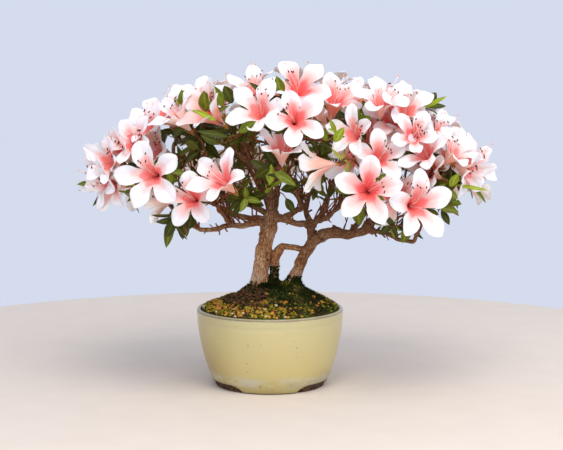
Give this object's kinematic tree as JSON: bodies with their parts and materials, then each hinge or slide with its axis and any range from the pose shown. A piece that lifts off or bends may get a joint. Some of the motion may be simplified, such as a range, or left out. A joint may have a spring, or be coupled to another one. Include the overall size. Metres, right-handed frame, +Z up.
{
  "type": "azalea bonsai",
  "caption": "Azalea bonsai in full blossom: twin trunks and a thin third stem with spreading boughs and a domed crown of large funnel-shaped blossoms, in a round glazed pot.",
  "frame": {"origin": "middle of the plant's spread seen from above, on the surface that the pot stands on", "axes": "+Z up, -Y towards the front, +X towards the right-hand side of the front, along the crown's long way"},
  "size_m": [0.3498, 0.246, 0.2785],
  "materials": {
    "glaze": "gloss",
    "soil": "matte",
    "bark": "matte",
    "blossom": "satin"
  },
  "bodies": {
    "root": {"pot": "glaze", "soil": "soil", "trunk_left": "bark", "trunk_right": "bark", "stem_middle": "bark", "bough_front_left": "bark", "bough_front_mid_left": "bark", "bough_left": "bark", "bough_back_left": "bark", "bough_upright_left": "bark", "bough_top": "bark", "bough_back_mid_left": "bark", "bough_mid_right": "bark", "bough_front_middle": "bark", "bough_right": "bark", "bough_front_right": "bark", "bough_fork": "bark", "bough_back_mid_right": "bark", "bough_back_right": "bark", "mass_front_left": "blossom", "mass_front_mid_left": "blossom", "mass_left": "blossom", "mass_back_left": "blossom", "mass_upright_left": "blossom", "mass_top": "blossom", "mass_back_mid_left": "blossom", "mass_mid_right": "blossom", "mass_front_middle": "blossom", "mass_right": "blossom", "mass_front_right": "blossom", "mass_fork": "blossom", "mass_back_mid_right": "blossom", "mass_back_right": "blossom"}
  },
  "joints": []
}
